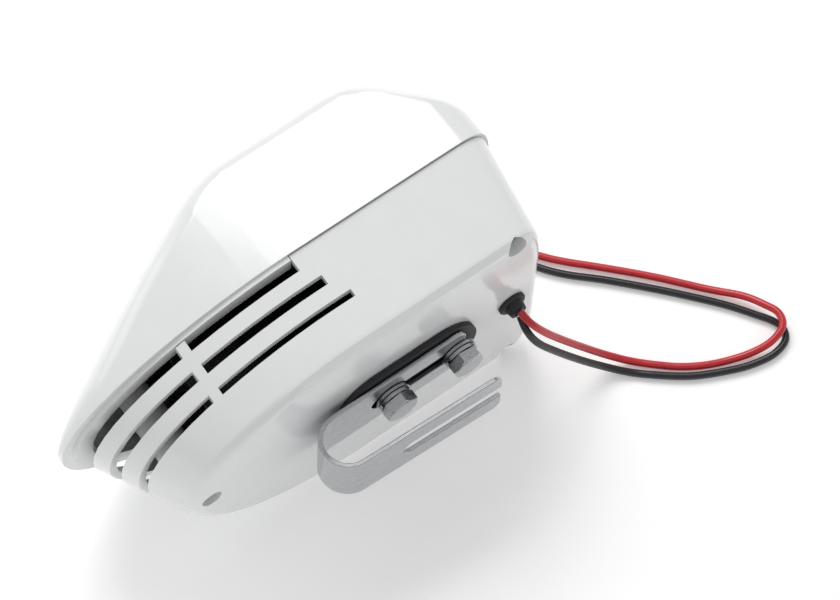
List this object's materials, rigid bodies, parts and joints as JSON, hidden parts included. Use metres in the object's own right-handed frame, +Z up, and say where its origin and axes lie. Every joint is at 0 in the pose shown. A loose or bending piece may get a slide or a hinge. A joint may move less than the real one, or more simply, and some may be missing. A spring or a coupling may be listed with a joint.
{
  "type": "alarm siren",
  "caption": "Small electronic alarm siren: white wedge-shaped louvred housing with a horn driver inside, steel U bracket, sealed cable outlet and two free leads.",
  "frame": {"origin": "centre of the footprint of the siren without its free leads, on the table, with the siren lying on one flank", "axes": "+Y from the louvred nose to the rear, +Z up from the table, +X from the hood's roof to the bracket side. To fasten the siren upright by its bracket, turn it about Y so that +X points down."},
  "size_m": [0.1306, 0.2211, 0.0902],
  "materials": {
    "white_shell": "injection-moulded ABS, gloss white",
    "black_plastic": "injection-moulded, satin black",
    "black_rubber": "moulded rubber, satin",
    "stainless_steel": "brushed stainless steel",
    "plated_steel": "zinc plated steel",
    "brass": "turned brass",
    "ferrite": "sintered ferrite, dark grey",
    "phenolic": "phenolic film, brown",
    "copper": "enamelled copper winding",
    "tinned_copper": "tinned copper strands",
    "laminate": "glass-fibre laminate, green",
    "red_pvc": "extruded PVC, gloss red",
    "black_pvc": "extruded PVC, gloss black",
    "sleeve": "capacitor sleeve, dark blue"
  },
  "bodies": {
    "housing": {"hood_shell": "white_shell", "lower_shell": "white_shell", "housing_screw_1": "stainless_steel", "housing_screw_2": "stainless_steel", "housing_screw_3": "stainless_steel", "mounting_pad": "black_rubber", "bracket_bolt_1": "stainless_steel", "bracket_bolt_2": "stainless_steel", "flat_washer_1": "stainless_steel", "flat_washer_2": "stainless_steel", "spring_washer_1": "stainless_steel", "spring_washer_2": "stainless_steel", "threaded_insert_1": "brass", "threaded_insert_2": "brass", "cable_grommet": "black_rubber", "horn": "black_plastic", "horn_screw_1": "plated_steel", "horn_screw_2": "plated_steel", "throat_gasket": "black_rubber", "diaphragm_clamp_ring": "black_plastic", "driver_top_plate": "plated_steel", "driver_magnet": "ferrite", "driver_yoke": "plated_steel", "driver_cover": "black_plastic", "circuit_board": "laminate", "capacitor_1": "sleeve", "capacitor_2": "sleeve", "power_transistor_1": "black_plastic", "power_transistor_2": "black_plastic", "tone_chip": "black_plastic", "choke": "copper", "terminal_block": "laminate", "red_inner_lead": "red_pvc", "black_inner_lead": "black_pvc", "driver_wire_lower": "black_pvc", "driver_wire_upper": "red_pvc", "red_lead": "red_pvc", "red_lead_tip": "tinned_copper", "black_lead": "black_pvc", "black_lead_tip": "tinned_copper"},
    "bracket": {"bracket": "stainless_steel"},
    "diaphragm_and_coil": {"diaphragm": "phenolic", "voice_coil": "copper"}
  },
  "joints": [
    {"name": "bracket_slide", "type": "slide", "parent": "housing", "child": "bracket", "axis": [0, 1, 0], "range_m": [-0.002, 0.004]},
    {"name": "diaphragm_travel", "type": "slide", "parent": "housing", "child": "diaphragm_and_coil", "axis": [0, 1, 0], "range_m": [-0.0003, 0.0003], "stiffness_N_per_m": 2500}
  ]
}
